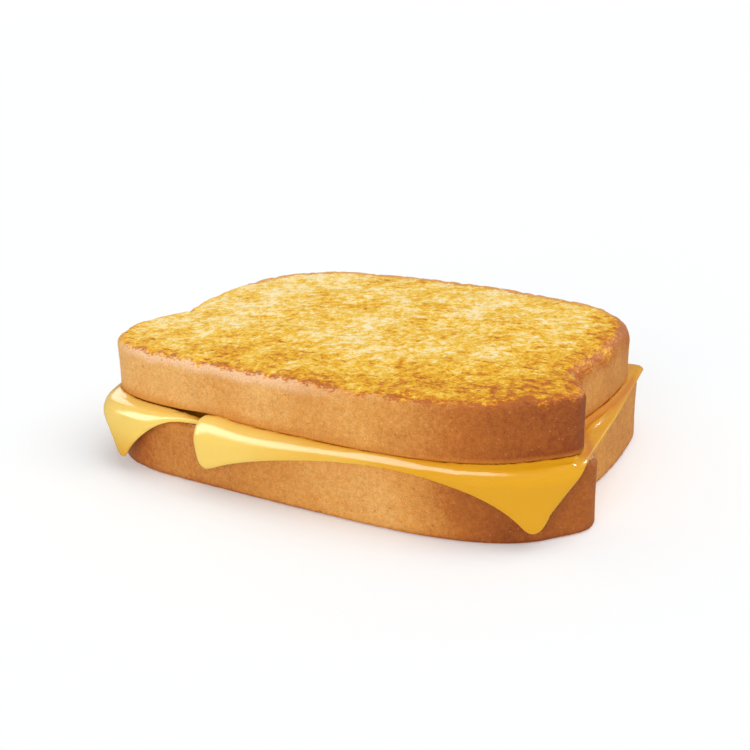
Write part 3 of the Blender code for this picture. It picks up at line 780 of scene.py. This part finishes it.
# The slice before it hangs: its sides drawn in by parabolas, its hidden corner tucked in,
# turned on its corner.
def cheesePlan(cheese, u, v):
    half = melt["side"] / 2
    x, y, toEdge = roundedSquare(u, v, cheese["cornerRound"], cheese["backRound"])
    side = cheese["cornerSide"]
    toFront, toEnd = np.clip(-y / half, 0.0, 1.0) ** 2, np.clip(side * x / half, 0.0, 1.0) ** 2
    pullFront = cheese["pullFront"] * (1.0 - (x / half) ** 2) * toFront
    pullEnd = cheese["pullEnd"] * (1.0 - (y / half) ** 2) * toEnd
    withdraw = cheese["withdraw"] * ramp(side * x / half, melt["withdrawAt"]) * toFront
    tuck = cheese["tuck"] * np.clip((side * x + y) / half - 1.0, 0.0, 1.0) ** melt["tuckPower"]
    dx, dy = x - side * (pullEnd + tuck) - side * half, y + pullFront + withdraw - tuck + half
    c, s = math.cos(cheese["turn"]), math.sin(cheese["turn"])
    return np.column_stack((c * dx - s * dy, s * dx + c * dy)) + np.array(cheese["corner"]), toEdge


# Beyond the rim the way goes round an arc of the bend radius, then straight down,
# and the flap comes in until it stands off the crust.
def hang(cheese, plan, rise):
    gap, place, out = nearestOn(plan, rimLine)
    centre, width = cheese["bendChange"]
    share = 1.0 / (1.0 + np.exp(-(plan[:, 0] - centre) / width))
    radius = cheese["bend"][0] + (cheese["bend"][1] - cheese["bend"][0]) * share
    beyond = np.maximum(gap, 0.0)
    turned = np.minimum(beyond / radius, math.pi / 2)
    straight = np.maximum(beyond - radius * math.pi / 2, 0.0)
    away = radius * np.sin(turned) - (radius - cheese["standOff"]) * ease(straight / melt["landing"])
    drop = radius * (1.0 - np.cos(turned)) + straight
    flat = np.where(gap[:, None] > 0.0, place, plan)
    height = lowerTop(flat) + melt["clearance"] + melt["thickness"] / 2 + rise - drop
    return np.column_stack((flat + (away * (gap > 0.0))[:, None] * out, height)), beyond


# No rise: it lies on the bread.
def restsOnBread(plan):
    return np.zeros(len(plan))


# Rises from the rim inwards to lie on the lower cheese, and rides over that one's front edge.
def ridesOver(plan):
    depth = -nearestOn(plan, lowerCoarse)[0]
    rise = melt["thickness"] + melt["liftClearances"] * melt["clearance"]
    return rise * (1.0 - (1.0 - ease(depth / melt["liftReach"])) * (1.0 - crossing(plan)))


# Grid faces between rows and columns of vertex numbers.
def gridFaces(index):
    return np.stack((index[:-1, :-1], index[1:, :-1], index[1:, 1:], index[:-1, 1:]), -1).reshape(-1, 4)


# How far the top skin is drawn up to the upper crust, as exp(-gap / reach) outside it,
# and the Gaussian crease that runs along the crust at the right.
def drawnUp(x, y, fromCrust):
    outside = np.exp(-fromCrust / melt["squeezeReach"])
    squeezed = np.where(fromCrust > 0.0, outside, bell(fromCrust, melt["squeezeInside"]))
    ridge = bell(fromCrust - melt["ridgeAt"], melt["ridgeWidth"])
    ridge = ridge * ramp(x, melt["ridgeX"]) * ramp(y, melt["ridgeY"])
    return melt["squeeze"] * squeezed + melt["ridge"] * ridge


# How deep the colour is: deeper to the right, which is partly the cheese's own amber and partly painted shade
# for light that falls from the left, deeper down the flap, and painted shade along the crust at the right.
def deepOf(cheese, planX, x, y, beyond, fromCrust):
    perHang, hangFrom = cheese["deepening"]
    deep = ramp(planX, melt["deepX"]) + perHang * np.maximum(beyond - hangFrom, 0.0)
    shade = melt["shade"] + melt["creaseShade"] * bell(fromCrust, melt["creaseReach"])
    return deep + shade * ramp(x, melt["shadeX"]) * ramp(y, melt["shadeY"])


# Mid-surface from plan and hang; its normal from differences along the grid; two skins half a thickness
# either side. The thickness is multiplied by sqrt(t (2 - t)), where t goes from 0 to 1 over the edge.
def makeCheese(name, node, cheese, riseAt, look):
    side = cheese["cornerSide"]
    linesU, linesV = cheeseLines(side < 0, side > 0), cheeseLines(True, False)
    u, v = (g.ravel() for g in np.meshgrid(linesU, linesV, indexing="ij"))
    plan, toEdge = cheesePlan(cheese, u, v)
    middle, beyond = hang(cheese, plan, riseAt(plan))
    rows, cols = len(linesU), len(linesV)
    grid = middle.reshape(rows, cols, 3)
    normal = np.cross(np.gradient(grid, linesU, axis=0), np.gradient(grid, linesV, axis=1)).reshape(-1, 3)
    normal /= np.maximum(np.linalg.norm(normal, axis=1), 1e-9)[:, None]
    t = np.clip(toEdge / melt["edge"], 0.0, 1.0)
    halfThick = (melt["thickness"] * np.sqrt(np.maximum(t * (2.0 - t), 0.0)))[:, None] / 2
    index = np.arange(rows * cols).reshape(rows, cols)
    border = np.zeros((rows, cols), bool)
    border[[0, -1]] = border[:, [0, -1]] = True
    inner = rows * cols + np.cumsum(~border).reshape(rows, cols) - 1
    under = np.where(border, index, inner)
    keep = ~border.ravel()
    top = middle + halfThick * normal
    x, y = top[:, 0], top[:, 1]
    fromCrust = nearestOn(top[:, :2], evenly(upperLine, melt["crustPoints"]))[0]
    top[:, 2] += drawnUp(x, y, fromCrust) * (toEdge > melt["edge"])
    points = np.vstack((top, (middle - halfThick * normal)[keep]))
    faces = gridFaces(index).tolist() + gridFaces(under)[:, ::-1].tolist()
    values = {"deep": deepOf(cheese, plan[:, 0], x, y, beyond, fromCrust),
              # Painted shade: an orange tint where the cheese goes in under the crust.
              "tucked": np.exp(-np.maximum(fromCrust, 0.0) / melt["seamShadeReach"])}
    attributes = {label: np.concatenate((value, value[keep])) for label, value in values.items()}
    piece = meshPiece(name, points, faces, attributes, look)
    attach(piece, "root")
    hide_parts(node)
    return piece


# Shade is painted shade along the crust at the right, and Orange an orange tint painted as shade at the seam
# under the crust.
meltFinish = {
    "colours": (("Bright", rgb(250, 210, 106)), ("Amber", rgb(223, 162, 24)), ("Shade", rgb(206, 130, 34)),
                ("Orange", rgb(238, 166, 40))),
    "amberEdges": (0.0, 1.0), "shadeEdges": (1.4, 2.6),
    "slow": (70.0, 2.0), "slowSwing": 0.5, "fine": (420.0, 2.0), "fineBump": 0.12,
    "rough": 0.12, "fineRough": 0.12, "bump": 0.4, "bumpDepth": 0.0008,  # metres
    "shader": {"Specular IOR Level": 0.5, "Subsurface Weight": 0.25, "Subsurface Radius": (1.0, 0.62, 0.15),
               "Subsurface Scale": 0.003},
}


# Melted cheese: bright yellow that deepens to amber and then to a browner colour that is painted shade
# along the crust at the right, an orange tint painted as shade where it goes in under the crust, and faint
# slow ripples.
def cheeseGroup():
    colours = [(label, "Color", colour) for label, colour in meltFinish["colours"]]
    inputs = (("Vector", "Vector", None), *colours, ("Deep", "Float", 0.5), ("SeamShade", "Float", 0.0))
    outputs = (("Color", "Color"), ("Height", "Float"), ("Roughness", "Float"))
    tree, given, result = newGroup("meltedCheese", inputs, outputs)
    slow = noise(tree, given["Vector"], *meltFinish["slow"])
    fine = noise(tree, given["Vector"], *meltFinish["fine"])
    deep = swung(tree, given["Deep"], slow, meltFinish["slowSwing"])
    colour = mixed(tree, between(tree, deep, *meltFinish["amberEdges"]), given["Bright"], given["Amber"])
    # Painted shade: the browner colour along the crust at the right.
    colour = mixed(tree, between(tree, deep, *meltFinish["shadeEdges"]), colour, given["Shade"])
    # Painted shade: the orange tint at the seam under the crust.
    tree.links.new(mixed(tree, given["SeamShade"], colour, given["Orange"]), result["Color"])
    tree.links.new(maths(tree, "MULTIPLY_ADD", fine, meltFinish["fineBump"], slow), result["Height"])
    rough = maths(tree, "MULTIPLY_ADD", fine, meltFinish["fineRough"], meltFinish["rough"])
    tree.links.new(rough, result["Roughness"])
    return tree


cheeseFinish = cheeseGroup()


def cheeseLook(name):
    made, tree, shader = newLook(name, meltFinish["shader"])
    values = {"Vector": put(tree, "ShaderNodeTexCoord").outputs["Object"]}
    for label, socket in (("deep", "Deep"), ("tucked", "SeamShade")):
        values[socket] = put(tree, "ShaderNodeAttribute", attribute_name=label).outputs["Fac"]
    finish = put(tree, "ShaderNodeGroup", values, node_tree=cheeseFinish).outputs
    tree.links.new(finish["Color"], shader.inputs["Base Color"])
    tree.links.new(finish["Roughness"], shader.inputs["Roughness"])
    bumpValues = {"Strength": meltFinish["bump"], "Distance": meltFinish["bumpDepth"],
                  "Height": finish["Height"]}
    tree.links.new(put(tree, "ShaderNodeBump", bumpValues).outputs[0], shader.inputs["Normal"])
    return made


cheeseUnder = makeCheese("lowerMelt", "cheese_lower", lowerCheese, restsOnBread, cheeseLook("lowerCheese"))
cheeseOver = makeCheese("upperMelt", "cheese_upper", upperCheese, ridesOver, cheeseLook("upperCheese"))
print("cheese made")

# Floor, lights and camera. The floor glows a little, as a lit table does, so that its shadows
# stay soft and neutral.
studio = {
    "floorSize": 12.0,  # metres
    "floor": {"Base Color": (0.765, 0.78, 0.79, 1.0), "Roughness": 0.9, "Specular IOR Level": 0.0,
              "Emission Color": (1.0, 1.0, 1.0, 1.0), "Emission Strength": 0.22},
    "sky": 0.49, "seenSky": 1.03, "glossySky": 0.3,
    "suns": (  # soft even light for the whole floor: name, where it comes from, strength, width in degrees
        ("overheadSun", (0.42, 0.05, 0.90), 1.5, 60.0),
        ("frontSun", (0.12, -0.95, 0.28), 1.0, 40.0),
    ),
    "lamps": (  # softboxes for the highlights: name, place and target in metres, size, watts
        ("windowLamp", (-0.52, -0.33, 0.80), (0.0, 0.0, 0.02), (0.5, 1.7), 19.0),
        ("leftLamp", (-0.80, 0.36, 0.40), (0.0, 0.0, 0.02), (0.3, 0.3), 0.8),
        ("edgeLamp", (0.33, 0.79, 0.52), (0.0, 0.0, 0.02), (0.25, 0.25), 3.9),
    ),
}
floorMesh = bpy.data.meshes.new("floor")
half = studio["floorSize"] / 2
floorCorners = [(-half, -half, 0), (half, -half, 0), (half, half, 0), (-half, half, 0)]
floorMesh.from_pydata(floorCorners, [], [(0, 1, 2, 3)])
floorMesh.materials.append(newLook("paleFloor", studio["floor"])[0])
floor = newObject("floor", floorMesh)
floor.visible_glossy = False

for name, source, strength, width in studio["suns"]:
    sun = bpy.data.lights.new(name, "SUN")
    sun.energy, sun.angle = strength, math.radians(width)
    held = newObject(name, sun)
    held.rotation_euler = Vector(source).to_track_quat("Z", "Y").to_euler()
    held.visible_glossy = False
for name, place, target, size, watts in studio["lamps"]:
    lamp = bpy.data.lights.new(name, "AREA")
    lamp.shape, lamp.size, lamp.size_y, lamp.energy = "RECTANGLE", size[0], size[1], watts
    held = newObject(name, lamp)
    held.location = place
    held.rotation_euler = (Vector(target) - Vector(place)).to_track_quat("-Z", "Y").to_euler()
    held.visible_diffuse = False

# The sky has one strength for the soft light, one in reflections and one as the camera sees it.
world = bpy.data.worlds.new("studioSky")
world.use_nodes = True
sky = world.node_tree.nodes["Background"]
sky.inputs["Color"].default_value = (1.0, 1.0, 1.0, 1.0)
rays = put(world.node_tree, "ShaderNodeLightPath").outputs
glossyChange, seenChange = studio["glossySky"] - studio["sky"], studio["seenSky"] - studio["sky"]
strength = maths(world.node_tree, "MULTIPLY_ADD", rays["Is Glossy Ray"], glossyChange, studio["sky"])
strength = maths(world.node_tree, "MULTIPLY_ADD", rays["Is Camera Ray"], seenChange, strength)
world.node_tree.links.new(strength, sky.inputs["Strength"])
bpy.context.scene.world = world
bpy.context.scene.view_settings.view_transform = "Standard"

eye = {"place": (132.46, -167.04, 103.43), "ahead": (-0.5159, 0.7891, -0.3335), "roll": -0.024,
       "lens": 51.77, "sensor": 36.0, "clip": (0.01, 50.0)}
ahead = Vector(eye["ahead"]).normalized()
level = ahead.cross(Vector((0, 0, 1))).normalized()
upright = level.cross(ahead)
c, s = math.cos(eye["roll"]), math.sin(eye["roll"])
across, up = c * level + s * upright, c * upright - s * level
cameraData = bpy.data.cameras.new("photoCamera")
cameraData.lens, cameraData.sensor_width = eye["lens"], eye["sensor"]
cameraData.clip_start, cameraData.clip_end = eye["clip"]
camera = newObject("photoCamera", cameraData)
stand = Matrix((across, up, -ahead)).transposed().to_4x4()
stand.translation = (Vector(eye["place"]) + Vector(shift)) * mm
camera.matrix_world = stand
bpy.context.scene.camera = camera
print("studio ready")
